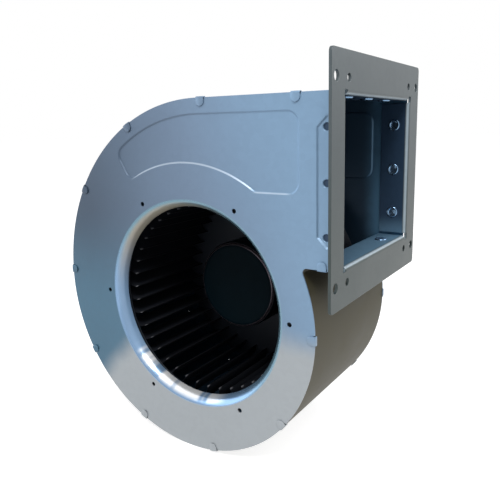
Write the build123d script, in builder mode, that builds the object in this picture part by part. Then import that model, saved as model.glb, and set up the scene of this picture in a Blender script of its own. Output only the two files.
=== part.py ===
"""A single-inlet centrifugal blower driven by an external-rotor DC motor.

Origin: centre of the inlet, on the wheel axis, in the outer face of the front side plate.
The air enters along +Y, the outlet faces +X, and Z is up. Millimetres.
Seen from the inlet the wheel turns clockwise, and the scroll widens clockwise from its tongue.
"""

import os
from math import asin, atan2, cos, degrees, radians, sin, sqrt

from build123d import *

# Wheel
wheel_radius = 90.0
wheel_sheet = 1.0  # front ring and back disc
ring_width = 11.0
blade_count = 40
blade_thickness = 0.8
blade_chord = 16.4  # from root to tip, along the radius
blade_lead = 5.9  # degrees that the tip runs ahead of the root
blade_flats = 4  # folds of the strip between root and tip, one more than these makes its corners
blade_rim_gap = 1.6  # the tips stay inside the wheel's edge

# Housing sheet metal
sheet = 1.0  # side plates and scroll wrapper
depth = 125.0  # over both side plates
wheel_front_gap = 6.5  # from the nozzle's lip to the front ring
wheel_rear_gap = 17.0  # from the back disc to the rear side plate

# Scroll, three tangent arcs, set by the room that they leave round the wheel
top_gap = 60.0
left_gap = 39.0
low_gap = 26.0
tongue_gap = 11.6
top_centre_x = 13.0  # where the straight top wall begins
floor_height = 40.0  # underside of the outlet duct above the axis
tongue_radius = 3.0  # outside bend between scroll and duct floor

# Outlet flange, one plate with four tabs bent back into the duct
outlet_reach = 33.0  # from the wheel's edge to the flange's face
flange_thickness = 2.0
flange_margin_y = 16.5  # beyond the side plates
flange_margin_z = 22.5  # beyond the duct's top and floor
flange_corner = 3.0
flange_bend = 1.0  # inside radius of the bent tabs
neck_length = 19.0  # straight part of the bent tabs
neck_relief = 4.5  # open corner between two bent tabs
outer_hole_inset = 6.5  # holes in from the flange's upright edges
inner_hole_inset = 24.0
flange_hole_inset_z = 15.5  # and from its level edges
outer_hole_radius = 3.25
inner_hole_radius = 2.5

# Inlet nozzle drawn from the front side plate, and the holes for a guard round it
throat_lap = 5.7  # the throat is smaller than the front ring's bore
nozzle_draw = 5.7  # from throat to rim, along the radius
nozzle_depth = 9.5
nozzle_steps = 3  # cones that follow its curve
guard_margin = 6.0  # guard holes outside the nozzle's rim
guard_hole_radius = 1.75
guard_hole_count = 6

# Pressed features of the side plates
panel_depth = 0.9
press_slope = 45.0
panel_margin = 10.5  # in from the scroll outline
panel_guard_gap = 20.5  # between the circle of guard holes and the panel's curved foot
panel_foot = 33.3  # length of its level foot
panel_pocket_gap = 12.0
panel_left_angle = 121.0  # ray from the axis that ends the panel
panel_corner = 8.0
pocket_depth = 1.2  # brings the plate onto the flange tab
pocket_length = 15.0
pocket_margin = 14.0  # in from the duct's top and floor
pocket_chamfer = 7.0

# Locking tabs of the wrapper, folded over the side plates
tab_count = 10
first_tab = 29.0  # along the wrapper from its outlet end
last_tab = 49.65  # before the tongue
floor_tab_inset = 11.0  # from the outlet end of the duct's floor
tab_width = 6.5
tab_length = 6.0
tab_taper = 1.4
tab_bulge = 0.8  # of the fold, outside the wrapper
notch_gap = 0.3

# Rotor of the motor
rotor_radius = 37.0
rotor_length = 46.5  # in front of the back disc
rotor_wall = 2.4
rotor_chamfer = 3.0
rotor_boss_radius = 8.0
rotor_boss_length = 4.0
magnet_count = 6
magnet_flats = 24  # round the whole rotor
magnet_thickness = 3.2
magnet_overhang = 2.0  # beyond each end of the core
magnet_gap = 2.0
air_gap = 0.6
glue_gap = 0.1

# Shaft and bearing
shaft_radius = 4.0
retaining_ring_radius = 7.0
retaining_ring_thickness = 1.0
ring_sides = 12
bush_radius = 7.0
running_gap = 0.03
press_gap = 0.02
axial_play = 0.2

# Stator
slot_count = 9
core_hub_radius = 15.0
tooth_width = 6.0
shoe_thickness = 3.0
slot_opening = 3.0
insulator_thickness = 1.5
coil_inner_radius = 18.0
coil_build = 3.0  # wire on each side of a tooth
coil_gap = 0.2
tube_radius = 10.0
board_rim_gap = 5.6  # inside the rotor's wall
board_sides = 8
board_thickness = 1.6
board_gap = 2.0  # behind the coils
board_room = 15.3  # in front of the motor flange
board_part_inset = 7.0
peg_width = 2.0
peg_count = 3
board_part_height = 1.5
transistor_count = 6
transistor_width = 6.0
sensor_count = 3
sensor_width = 3.0
capacitor_radius = 4.0
capacitor_length = 10.0

# Motor flange on the rear side plate
mount_radius = 44.0
mount_thickness = 6.0
spigot_radius = 22.0
spigot_stand = 4.0  # beyond the rear side plate
spigot_gap = 0.3
end_pocket_radius = 12.0
end_pocket_web = 1.0
cover_thickness = 1.5
screw_inset = 10.0
screw_count = 3
screw_head = 2.8
screw_flats = 7.0
lead_hole_radius = 4.5
grommet_bore = 2.4
grommet_length = 5.0

# Places that follow from the sizes above
mid_depth = depth / 2
rear_inside_y = depth - sheet
top_height = wheel_radius + top_gap
left_reach = wheel_radius + left_gap
low_reach = wheel_radius + low_gap
top_radius = top_centre_x + left_reach
top_centre_z = top_height - top_radius
side_radius = top_centre_z + low_reach
low_centre_x = side_radius - left_reach
tongue_x = sqrt((wheel_radius + tongue_gap) ** 2 - floor_height**2)
tongue_rise = low_reach + floor_height
low_radius = ((tongue_x - low_centre_x) ** 2 + tongue_rise**2) / (2 * tongue_rise)
low_centre_z = low_radius - low_reach
tongue_angle = degrees(asin((floor_height - low_centre_z) / low_radius))
flange_face_x = wheel_radius + outlet_reach
flange_back_x = flange_face_x - flange_thickness
duct_end_x = flange_back_x - flange_bend
duct_height = top_height - floor_height
duct_mid_z = (top_height + floor_height) / 2
window_side_y = sheet + pocket_depth - flange_bend
window_width = depth - 2 * window_side_y
window_height = duct_height - 2 * (sheet - flange_bend)
flange_width = depth + 2 * flange_margin_y
flange_height = duct_height + 2 * flange_margin_z
ring_inner_radius = wheel_radius - ring_width
throat_radius = ring_inner_radius - throat_lap
nozzle_rim_radius = throat_radius + nozzle_draw
guard_circle_radius = nozzle_rim_radius + guard_margin
pocket_left_x = duct_end_x - pocket_length
panel_inner_radius = guard_circle_radius + panel_guard_gap
panel_right_x = pocket_left_x - panel_pocket_gap
panel_bottom_z = sqrt(panel_inner_radius**2 - (panel_right_x - panel_foot) ** 2)
blade_outer_radius = wheel_radius - blade_rim_gap
blade_inner_radius = blade_outer_radius - blade_chord
wheel_front_y = nozzle_depth + wheel_front_gap
wheel_back_y = rear_inside_y - wheel_rear_gap
disc_front_y = wheel_back_y - wheel_sheet
rotor_face_y = disc_front_y - rotor_length
rotor_inside_y = rotor_face_y + rotor_wall
rotor_bore_radius = rotor_radius - rotor_wall
magnet_outer_radius = rotor_bore_radius - glue_gap
magnet_inner_radius = magnet_outer_radius - magnet_thickness
shoe_radius = magnet_inner_radius - air_gap
shoe_back_radius = shoe_radius - shoe_thickness
board_radius = rotor_bore_radius - board_rim_gap
board_part_circle = board_radius - board_part_inset
tube_front_y = rotor_inside_y + rotor_boss_length + axial_play
mount_y = rear_inside_y - mount_thickness
board_back_y = mount_y - board_room
board_y = board_back_y - board_thickness
core_front_y = tube_front_y + coil_build + insulator_thickness
core_back_y = board_y - board_gap - coil_build - insulator_thickness
core_mid_y = (core_front_y + core_back_y) / 2
core_length = core_back_y - core_front_y
magnet_length = core_length + 2 * magnet_overhang
screw_circle = mount_radius - screw_inset
lead_hole_circle = (end_pocket_radius + spigot_radius) / 2
end_pocket_y = mount_y + end_pocket_web
spigot_end_y = depth + spigot_stand
retaining_ring_y = end_pocket_y + axial_play
shaft_end_y = retaining_ring_y + retaining_ring_thickness + axial_play
cover_y = spigot_end_y - cover_thickness
middle = Plane.XZ.offset(-mid_depth)


def across(y):
    """Plane across the wheel axis at depth y, seen from the inlet: X to the right and Z up."""
    return Plane.XZ.offset(-y)


def housing_face(inset):
    """Outline of the scroll and its outlet duct, moved inwards by inset."""
    rise = floor_height + inset - low_centre_z
    reach = low_radius - inset
    with BuildSketch() as face:
        with BuildLine():
            top = Line((duct_end_x, top_height - inset), (top_centre_x, top_height - inset))
            CenterArc((top_centre_x, top_centre_z), top_radius - inset, 90, 90)
            CenterArc((low_centre_x, top_centre_z), side_radius - inset, 180, 90)
            low = CenterArc((low_centre_x, low_centre_z), reach, 270, 90 + degrees(asin(rise / reach)))
            floor = Line(low @ 1, (duct_end_x, floor_height + inset))
            Line(floor @ 1, top @ 0)
        make_face()
        tongue = face.vertices().sort_by_distance(low @ 1)[0]
        fillet(tongue, tongue_radius + inset)
    return face.sketch


def panel_end_width():
    """Width of the panel where the ray from the axis ends it."""
    angle = radians(panel_left_angle)
    ahead = top_centre_x * cos(angle) + top_centre_z * sin(angle)
    aside = top_centre_x * sin(angle) - top_centre_z * cos(angle)
    return ahead + sqrt((top_radius - panel_margin) ** 2 - aside**2) - panel_inner_radius


def panel_face():
    """Pressed panel above the inlet, between the scroll outline and a circle about the axis."""
    far = 4 * top_radius
    with BuildSketch() as face:
        add(housing_face(panel_margin))
        with Locations((panel_right_x, 0)):
            Rectangle(far, far, align=(Align.MAX, Align.CENTER), mode=Mode.INTERSECT)
        with Locations((0, panel_bottom_z)):
            Rectangle(far, far, align=(Align.MIN, Align.MAX), mode=Mode.SUBTRACT)
        with Locations(Location((0, 0), panel_left_angle)):
            Rectangle(far, far, align=(Align.CENTER, Align.MAX), mode=Mode.INTERSECT)
        Circle(panel_inner_radius, mode=Mode.SUBTRACT)
        corners = [v for v in face.vertices() if abs(v.X - top_centre_x) > panel_corner]
        fillet(corners, min(panel_corner, 0.4 * panel_end_width()))
    return face.sketch


def pocket_face():
    """Pocket that runs out at the flange and narrows at its closed end."""
    end_x = duct_end_x + 2 * pocket_depth
    wide_x = pocket_left_x + pocket_chamfer
    low_z = floor_height + pocket_margin
    high_z = top_height - pocket_margin
    with BuildSketch() as face:
        with BuildLine():
            Polyline(
                (pocket_left_x, low_z + pocket_chamfer),
                (wide_x, low_z),
                (end_x, low_z),
                (end_x, high_z),
                (wide_x, high_z),
                (pocket_left_x, high_z - pocket_chamfer),
                close=True,
            )
        make_face()
    return face.sketch


def tab_places():
    """Places of the locking tabs on the outline, each with X along the rim and Y inwards."""
    with BuildLine() as scroll:
        Line((duct_end_x, top_height), (top_centre_x, top_height))
        CenterArc((top_centre_x, top_centre_z), top_radius, 90, 90)
        CenterArc((low_centre_x, top_centre_z), side_radius, 180, 90)
        CenterArc((low_centre_x, low_centre_z), low_radius, 270, 90 + tongue_angle)
    rim = scroll.wires()[0]
    pitch = (rim.length - first_tab - last_tab) / (tab_count - 1)
    places = []
    for i in range(tab_count):
        along = (first_tab + i * pitch) / rim.length
        point = rim @ along
        heading = rim % along
        places.append(Location((point.X, point.Y), degrees(atan2(heading.Y, heading.X))))
    places.append(Location((duct_end_x - floor_tab_inset, floor_height), 0))
    return places


def lock_tab():
    """One tab in its own frame: X along the rim, Y inwards, and Z out of the side plate's face."""
    with BuildPart() as tab:
        with BuildSketch():
            with BuildLine():
                Polyline(
                    (-tab_width / 2, -tab_bulge),
                    (tab_width / 2, -tab_bulge),
                    (tab_width / 2 - tab_taper, tab_length),
                    (tab_taper - tab_width / 2, tab_length),
                    close=True,
                )
            make_face()
        extrude(amount=sheet)
        with BuildSketch(Plane.XY.offset(-sheet)):
            with Locations((0, -tab_bulge)):
                Rectangle(tab_width, sheet + tab_bulge, align=(Align.CENTER, Align.MIN))
        extrude(amount=2 * sheet)
        fold = tab.edges().filter_by(Axis.X).group_by(Axis.Z)[-1].sort_by(Axis.Y)[0]
        chamfer(fold, tab_bulge)
    return tab.part


def pressed_plate():
    """Side plate without its openings: outline, tab notches, pressed panel and flange pocket."""
    with BuildPart() as plate:
        with BuildSketch(across(0)):
            add(housing_face(0))
        extrude(amount=-sheet)
        for face, press in ((panel_face(), panel_depth), (pocket_face(), pocket_depth)):
            with BuildSketch(across(sheet)):
                add(face)
            extrude(amount=-press, taper=press_slope)
            with BuildSketch(across(0)):
                add(face)
            extrude(amount=-press, taper=press_slope, mode=Mode.SUBTRACT)
        split(bisect_by=Plane.YZ.offset(duct_end_x), keep=Keep.BOTTOM)
        with BuildSketch(across(0)):
            with Locations(*tab_places()):
                Rectangle(tab_width + 2 * notch_gap, 2 * (sheet + notch_gap))
        extrude(amount=-sheet, mode=Mode.SUBTRACT)
    return plate.part


def bent_tab(plane, length):
    """Flange tab of the given length: on its plane X runs to the outlet and Y into the duct."""
    outer = flange_bend + flange_thickness
    with BuildPart() as tab:
        with BuildSketch(plane):
            with BuildLine():
                inner_arc = RadiusArc((flange_back_x, 0), (duct_end_x, flange_bend), -flange_bend)
                below = Line(inner_arc @ 1, (duct_end_x - neck_length, flange_bend))
                end = Line(below @ 1, (duct_end_x - neck_length, outer))
                above = Line(end @ 1, (duct_end_x, outer))
                outer_arc = RadiusArc(above @ 1, (flange_face_x, 0), outer)
                Line(outer_arc @ 1, inner_arc @ 0)
            make_face()
        extrude(amount=length / 2, both=True)
    return tab.part


def nozzle_face():
    """Half section of the nozzle: cones that follow an arc from the plate's face to the throat."""
    roll = (nozzle_draw**2 + nozzle_depth**2) / (2 * nozzle_draw)
    turn = degrees(asin(nozzle_depth / roll))
    centre = (throat_radius + roll, nozzle_depth)
    with BuildLine() as guide:
        inside = CenterArc(centre, roll, 180, turn)
        outside = CenterArc(centre, roll - sheet, 180, turn)
    shares = [i / nozzle_steps for i in range(nozzle_steps + 1)]
    with BuildSketch(Plane.XY) as face:
        with BuildLine():
            Polyline(*[inside @ s for s in shares], *[outside @ s for s in reversed(shares)], close=True)
        make_face()
    return face.sketch


def blade_face():
    """Section of one blade: flats along an arc that leaves the root radially and runs ahead at its tip."""
    run = blade_outer_radius * cos(radians(blade_lead)) - blade_inner_radius
    fall = blade_outer_radius * sin(radians(blade_lead))
    radius = (run * run + fall * fall) / (2 * fall)
    sweep = degrees(atan2(run, radius - fall))
    centre = (blade_inner_radius, -radius)
    with BuildLine() as guide:
        back = CenterArc(centre, radius + blade_thickness / 2, 90, -sweep)
        front = CenterArc(centre, radius - blade_thickness / 2, 90, -sweep)
    shares = [i / blade_flats for i in range(blade_flats + 1)]
    with BuildSketch() as face:
        with BuildLine():
            Polyline(*[back @ s for s in shares], *[front @ s for s in reversed(shares)], close=True)
        make_face()
    return face.sketch


def washer(bore, radius, face_y, thickness):
    """Plain ring on the wheel axis, from face_y towards the rear."""
    with BuildPart() as piece:
        with BuildSketch(across(face_y)):
            Circle(radius)
            Circle(bore, mode=Mode.SUBTRACT)
        extrude(amount=-thickness)
    return piece.part


def insulator(face_y, peg_length):
    """Star of plastic on one end of the core, with square pegs that carry the circuit board."""
    with BuildPart() as piece:
        with BuildSketch(across(face_y)):
            RegularPolygon(core_hub_radius, slot_count, major_radius=False)
            with PolarLocations(0, slot_count):
                Rectangle(shoe_back_radius, tooth_width, align=(Align.MIN, Align.CENTER))
            RegularPolygon(tube_radius + press_gap, slot_count, major_radius=False, mode=Mode.SUBTRACT)
        extrude(amount=-insulator_thickness)
        if peg_length > 0:
            with BuildSketch(across(face_y + insulator_thickness)):
                with PolarLocations((tube_radius + core_hub_radius) / 2, peg_count):
                    Rectangle(peg_width, peg_width)
            extrude(amount=-peg_length)
    return piece.part


plate = pressed_plate()

# Front side plate with its inlet nozzle
with BuildPart() as front_side_plate:
    add(plate)
    with BuildSketch(across(0)):
        Circle(nozzle_rim_radius)
        with PolarLocations(guard_circle_radius, guard_hole_count):
            Circle(guard_hole_radius)
    extrude(amount=-sheet, mode=Mode.SUBTRACT)
    add(nozzle_face())
    revolve(axis=Axis.Y)
front_side_plate.part.label = "front_side_plate"

# Rear side plate, the same pressing with a hole for the motor's spigot
with BuildPart() as rear_side_plate:
    add(mirror(plate, about=middle))
    with BuildSketch(across(depth)):
        Circle(spigot_radius + spigot_gap)
    extrude(amount=sheet, mode=Mode.SUBTRACT)
rear_side_plate.part.label = "rear_side_plate"

# Scroll wrapper, one strip with locking tabs along both edges
with BuildPart(across(0)) as scroll_wrapper:
    with BuildSketch(across(sheet)):
        add(housing_face(0))
        add(housing_face(sheet), mode=Mode.SUBTRACT)
    extrude(amount=-(depth - 2 * sheet))
    with Locations(*tab_places()):
        add(lock_tab())
    mirror(about=middle)
scroll_wrapper.part.label = "scroll_wrapper"

# Outlet flange
side_plane = Plane((0, window_side_y, duct_mid_z), x_dir=(1, 0, 0), z_dir=(0, 0, 1))
top_plane = Plane((0, mid_depth, duct_mid_z + window_height / 2), x_dir=(1, 0, 0), z_dir=(0, 1, 0))
side_tab = bent_tab(side_plane, window_height - 2 * neck_relief)
top_tab = bent_tab(top_plane, window_width - 2 * neck_relief)
hole_pitch_z = flange_height - 2 * flange_hole_inset_z
with BuildPart() as outlet_flange:
    with BuildSketch(Plane.YZ.offset(flange_back_x)):
        with Locations((mid_depth, duct_mid_z)):
            RectangleRounded(flange_width, flange_height, flange_corner)
            Rectangle(window_width, window_height, mode=Mode.SUBTRACT)
            with GridLocations(flange_width - 2 * outer_hole_inset, hole_pitch_z, 2, 2):
                Circle(outer_hole_radius, mode=Mode.SUBTRACT)
            with GridLocations(flange_width - 2 * inner_hole_inset, hole_pitch_z, 2, 2):
                Circle(inner_hole_radius, mode=Mode.SUBTRACT)
    extrude(amount=flange_thickness)
    add(side_tab)
    mirror(side_tab, about=middle)
    add(top_tab)
    mirror(top_tab, about=Plane.XY.offset(duct_mid_z))
outlet_flange.part.label = "outlet_flange"

# Wheel: forty curved blades between a front ring and a back disc
with BuildPart() as wheel_blades:
    with BuildSketch(across(wheel_front_y + wheel_sheet)):
        with PolarLocations(0, blade_count):
            add(blade_face())
    extrude(amount=-(disc_front_y - wheel_front_y - wheel_sheet))
wheel_blades.part.label = "wheel_blades"

wheel_front_ring = washer(ring_inner_radius, wheel_radius, wheel_front_y, wheel_sheet)
wheel_front_ring.label = "wheel_front_ring"

wheel_back_disc = washer(rotor_bore_radius, wheel_radius, disc_front_y, wheel_sheet)
wheel_back_disc.label = "wheel_back_disc"

# Rotor cup, drawn steel, welded to the back disc, with a boss for the shaft
with BuildPart() as rotor_cup:
    with BuildSketch(Plane.XY):
        with BuildLine():
            Polyline(
                (0, rotor_face_y),
                (rotor_radius - rotor_chamfer, rotor_face_y),
                (rotor_radius, rotor_face_y + rotor_chamfer),
                (rotor_radius, disc_front_y),
                (rotor_bore_radius, disc_front_y),
                (rotor_bore_radius, rotor_inside_y),
                (rotor_boss_radius, rotor_inside_y),
                (rotor_boss_radius, rotor_inside_y + rotor_boss_length),
                (shaft_radius + press_gap, rotor_inside_y + rotor_boss_length),
                (shaft_radius + press_gap, rotor_inside_y),
                (0, rotor_inside_y),
                close=True,
            )
        make_face()
    revolve(axis=Axis.Y)
rotor_cup.part.label = "rotor_cup"

with BuildPart() as rotor_magnets:
    with BuildSketch(across(core_mid_y - magnet_length / 2)):
        RegularPolygon(magnet_outer_radius, magnet_flats)
        RegularPolygon(magnet_inner_radius, magnet_flats, major_radius=False, mode=Mode.SUBTRACT)
        with PolarLocations(0, magnet_count):
            Rectangle(rotor_radius, magnet_gap, align=(Align.MIN, Align.CENTER), mode=Mode.SUBTRACT)
    extrude(amount=-magnet_length)
rotor_magnets.part.label = "rotor_magnets"

# Shaft, held behind the bush by a stamped ring with flats round its edge and its bore
with BuildPart() as rotor_shaft:
    with BuildSketch(across(rotor_inside_y)):
        Circle(shaft_radius)
    extrude(amount=-(shaft_end_y - rotor_inside_y))
rotor_shaft.part.label = "rotor_shaft"

with BuildPart() as shaft_retaining_ring:
    with BuildSketch(across(retaining_ring_y)):
        RegularPolygon(retaining_ring_radius, ring_sides)
        RegularPolygon(shaft_radius + press_gap, ring_sides, major_radius=False, mode=Mode.SUBTRACT)
    extrude(amount=-retaining_ring_thickness)
shaft_retaining_ring.part.label = "shaft_retaining_ring"

# Motor flange with the bearing tube, turned in one piece
with BuildPart() as motor_flange:
    with BuildSketch(Plane.XY):
        with BuildLine():
            Polyline(
                (bush_radius + press_gap, tube_front_y),
                (tube_radius, tube_front_y),
                (tube_radius, mount_y),
                (mount_radius, mount_y),
                (mount_radius, rear_inside_y),
                (spigot_radius, rear_inside_y),
                (spigot_radius, spigot_end_y),
                (end_pocket_radius, spigot_end_y),
                (end_pocket_radius, end_pocket_y),
                (bush_radius + press_gap, end_pocket_y),
                close=True,
            )
        make_face()
    revolve(axis=Axis.Y)
    with BuildSketch(across(spigot_end_y)):
        with Locations((0, -lead_hole_circle)):
            Circle(lead_hole_radius)
    extrude(amount=spigot_end_y - mount_y, mode=Mode.SUBTRACT)
motor_flange.part.label = "motor_flange"

bearing_bush = washer(shaft_radius + running_gap, bush_radius, tube_front_y, end_pocket_y - tube_front_y)
bearing_bush.label = "bearing_bush"

# Stator core, whose tooth shoes are round outside and flat behind
half_pitch = 180 / slot_count
with BuildPart() as stator_core:
    with BuildSketch(across(core_front_y)):
        Circle(shoe_radius)
        RegularPolygon(
            shoe_back_radius, slot_count, major_radius=False, rotation=half_pitch, mode=Mode.SUBTRACT
        )
        with PolarLocations(0, slot_count, start_angle=half_pitch):
            Rectangle(rotor_radius, slot_opening, align=(Align.MIN, Align.CENTER), mode=Mode.SUBTRACT)
        RegularPolygon(core_hub_radius, slot_count, major_radius=False)
        with PolarLocations(0, slot_count):
            Rectangle(shoe_back_radius + shoe_thickness / 2, tooth_width, align=(Align.MIN, Align.CENTER))
        RegularPolygon(tube_radius + press_gap, slot_count, major_radius=False, mode=Mode.SUBTRACT)
    extrude(amount=-core_length)
stator_core.part.label = "stator_core"

front_winding_insulator = insulator(core_front_y - insulator_thickness, 0)
front_winding_insulator.label = "front_winding_insulator"
rear_winding_insulator = insulator(core_back_y, board_y - core_back_y - insulator_thickness)
rear_winding_insulator.label = "rear_winding_insulator"

# One coil round each tooth
coil_bore_width = tooth_width + 2 * coil_gap
coil_bore_length = core_length + 2 * insulator_thickness
with BuildPart() as coil:
    with BuildSketch(Plane.YZ.offset(coil_inner_radius)):
        Rectangle(tooth_width + 2 * coil_build, coil_bore_length + 2 * coil_build)
        Rectangle(coil_bore_width, coil_bore_length, mode=Mode.SUBTRACT)
    extrude(amount=shoe_back_radius - coil_gap - coil_inner_radius)
with BuildPart(across(core_mid_y)) as stator_windings:
    with PolarLocations(0, slot_count):
        add(coil.part)
stator_windings.part.label = "stator_windings"

# Circuit board with its parts
with BuildPart() as circuit_board:
    with BuildSketch(across(board_y)):
        RegularPolygon(board_radius, board_sides)
        RegularPolygon(tube_radius + coil_gap, board_sides, major_radius=False, mode=Mode.SUBTRACT)
    extrude(amount=-board_thickness)
circuit_board.part.label = "circuit_board"

with BuildPart() as hall_sensors:
    with BuildSketch(across(board_y)):
        with PolarLocations(board_part_circle, sensor_count):
            Rectangle(sensor_width, sensor_width)
    extrude(amount=board_part_height)
hall_sensors.part.label = "hall_sensors"

with BuildPart() as power_transistors:
    with BuildSketch(across(board_back_y)):
        with PolarLocations(board_part_circle, transistor_count):
            Rectangle(transistor_width, transistor_width)
    extrude(amount=-board_part_height)
power_transistors.part.label = "power_transistors"

with BuildPart() as board_capacitor:
    with BuildSketch(across(board_back_y)):
        with Locations((0, board_part_circle)):
            Circle(capacitor_radius)
    extrude(amount=-capacitor_length)
board_capacitor.part.label = "board_capacitor"

# Heads of the screws that hold the motor flange, cover of the bearing's end, and lead grommet
with BuildPart() as motor_screws:
    with BuildSketch(across(depth)):
        with PolarLocations(screw_circle, screw_count, start_angle=90):
            RegularPolygon(screw_flats / 2, 6, major_radius=False)
    extrude(amount=-screw_head)
motor_screws.part.label = "motor_screws"

with BuildPart() as bearing_cover:
    with BuildSketch(across(cover_y)):
        Circle(end_pocket_radius - press_gap)
    extrude(amount=-cover_thickness)
bearing_cover.part.label = "bearing_cover"

with BuildPart() as lead_grommet:
    with BuildSketch(across(spigot_end_y)):
        with Locations((0, -lead_hole_circle)):
            Circle(lead_hole_radius - press_gap)
            Circle(grommet_bore, mode=Mode.SUBTRACT)
    extrude(amount=grommet_length)
lead_grommet.part.label = "lead_grommet"

os.makedirs("parts", exist_ok=True)
for piece in (
    front_side_plate.part,
    rear_side_plate.part,
    scroll_wrapper.part,
    outlet_flange.part,
    wheel_blades.part,
    wheel_front_ring,
    wheel_back_disc,
    rotor_cup.part,
    rotor_magnets.part,
    rotor_shaft.part,
    shaft_retaining_ring.part,
    motor_flange.part,
    bearing_bush,
    stator_core.part,
    front_winding_insulator,
    rear_winding_insulator,
    stator_windings.part,
    circuit_board.part,
    hall_sensors.part,
    power_transistors.part,
    board_capacitor.part,
    motor_screws.part,
    bearing_cover.part,
    lead_grommet.part,
):
    export_step(piece, f"parts/{piece.label}.step")
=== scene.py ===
from math import asin, cos, degrees, hypot, radians, sin, sqrt

import bmesh
import bpy
import numpy as np
from mathutils import Matrix, Vector
from mathutils.geometry import delaunay_2d_cdt


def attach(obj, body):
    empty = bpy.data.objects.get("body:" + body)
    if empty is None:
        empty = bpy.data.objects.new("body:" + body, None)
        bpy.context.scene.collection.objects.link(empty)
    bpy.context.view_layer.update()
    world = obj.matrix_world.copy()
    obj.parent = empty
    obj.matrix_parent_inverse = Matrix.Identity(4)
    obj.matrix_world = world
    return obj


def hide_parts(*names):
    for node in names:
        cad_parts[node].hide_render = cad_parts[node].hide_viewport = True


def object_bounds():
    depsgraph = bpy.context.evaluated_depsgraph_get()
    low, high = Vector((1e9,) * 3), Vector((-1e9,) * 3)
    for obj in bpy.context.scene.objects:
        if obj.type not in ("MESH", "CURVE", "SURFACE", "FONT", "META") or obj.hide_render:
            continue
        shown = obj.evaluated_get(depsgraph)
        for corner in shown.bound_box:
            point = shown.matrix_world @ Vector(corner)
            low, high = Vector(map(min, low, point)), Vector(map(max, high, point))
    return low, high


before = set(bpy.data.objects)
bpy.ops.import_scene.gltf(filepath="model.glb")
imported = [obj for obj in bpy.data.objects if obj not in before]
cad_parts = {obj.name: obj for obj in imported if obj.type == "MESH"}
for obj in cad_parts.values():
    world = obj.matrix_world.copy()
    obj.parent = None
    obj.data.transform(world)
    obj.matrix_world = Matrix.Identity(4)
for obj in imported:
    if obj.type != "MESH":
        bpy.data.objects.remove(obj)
cadLow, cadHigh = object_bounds()
mm = 0.001
mergeReach = 0.002 * mm  # points closer than this become one
print("frame loaded:", len(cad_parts), "nodes")

# Sizes are in millimetres. X points to the outlet, Y from the inlet to the motor, Z up
housing = {
    "depth": 125.0,
    "sheet": 1.0,
    "top": 150.0,
    "floor": 40.0,
    "ductEnd": 120.0,
    "topRadius": 142.0,
    "sideRadius": 124.0,
    "lowRadius": 109.03,
    "centreX": 13.0,
    "tongueBend": 3.0,
    "flatEnd": 16.0,
}
middleY = housing["depth"] / 2
ductMidZ = (housing["top"] + housing["floor"]) / 2

# The points where the flange's tabs are pressed together with the duct's walls
clinch = {
    "x": 111.5,
    "pitch": 34.0,
    "sides": 28,
    # (radius, depth) of the pit outside and (radius, height) of the ring inside
    "pit": ((2.95, 0.0), (2.7, 0.12), (2.4, 0.5), (2.2, 1.5), (1.9, 1.95), (1.3, 2.05), (0.0, 2.05)),
    "button": (
        (4.5, -0.15), (4.45, 0.45), (4.2, 0.8), (3.75, 1.0), (3.2, 0.95), (2.7, 0.7), (2.0, 0.55), (0.0, 0.5),
    ),
}
clinch["sideZ"] = [ductMidZ + i * clinch["pitch"] for i in (-1, 0, 1)]
clinch["topY"] = [middleY + i * clinch["pitch"] for i in (-1, 0, 1)]
clinch["floorY"] = clinch["topY"][-1:]


# Shapes from arrays

def arcRun(centre, radius, start, end, side=1, step=2.0):
    # Points centre + radius (cos a, sin a) at even angles a, with normals side (cos a, sin a)
    count = max(2, int(abs(end - start) / step) + 1)
    angle = np.radians(np.linspace(start, end, count))
    ray = np.stack((np.cos(angle), np.sin(angle)), 1)
    return np.array(centre) + radius * ray, side * ray


def lineRun(start, end, normal):
    # Two points with the same unit normal
    return np.array((start, end), float), np.array((normal, normal), float)


def joinRuns(runs):
    # Runs end to end; a point and normal that end one run and start the next are kept once
    points = np.concatenate([run[0] for run in runs])
    normals = np.concatenate([run[1] for run in runs])
    step = np.abs(np.diff(points, axis=0)).max(1) + np.abs(np.diff(normals, axis=0)).max(1)
    keep = np.concatenate(([True], step > 1e-6))
    return points[keep], normals[keep]


def rolledPath(runs, radius, closed, steps=7):
    # A disc of this radius rolls along the runs: each point moves radius along its normal, and where two runs
    # meet in a corner the normal turns evenly from the first to the second
    parts = []
    for i, (points, normals) in enumerate(runs):
        parts.append((points, normals))
        if closed or i + 1 < len(runs):
            nextNormal = runs[(i + 1) % len(runs)][1][0]
            first = np.arctan2(normals[-1][1], normals[-1][0])
            turn = (np.arctan2(nextNormal[1], nextNormal[0]) - first + np.pi) % (2 * np.pi) - np.pi
            if abs(turn) > 0.02:
                angle = first + turn * np.linspace(0, 1, steps + 1)
                ray = np.stack((np.cos(angle), np.sin(angle)), 1)
                parts.append((np.repeat(points[-1:], steps + 1, 0), ray))
    points, normals = joinRuns(parts)
    if closed and np.abs(points[0] - points[-1]).max() + np.abs(normals[0] - normals[-1]).max() < 1e-6:
        points, normals = points[:-1], normals[:-1]
    return points + radius * normals, normals


def circlePath(centre, radius, count):
    # Closed circle with outward normals
    angle = np.linspace(0, 2 * np.pi, count, endpoint=False)
    ray = np.stack((np.cos(angle), np.sin(angle)), 1)
    return np.array(centre) + radius * ray, ray


def lengthAlong(points):
    # Running length of a polyline, zero at its first point
    return np.concatenate(([0.0], np.cumsum(np.hypot(*np.diff(points, axis=0).T))))


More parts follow.
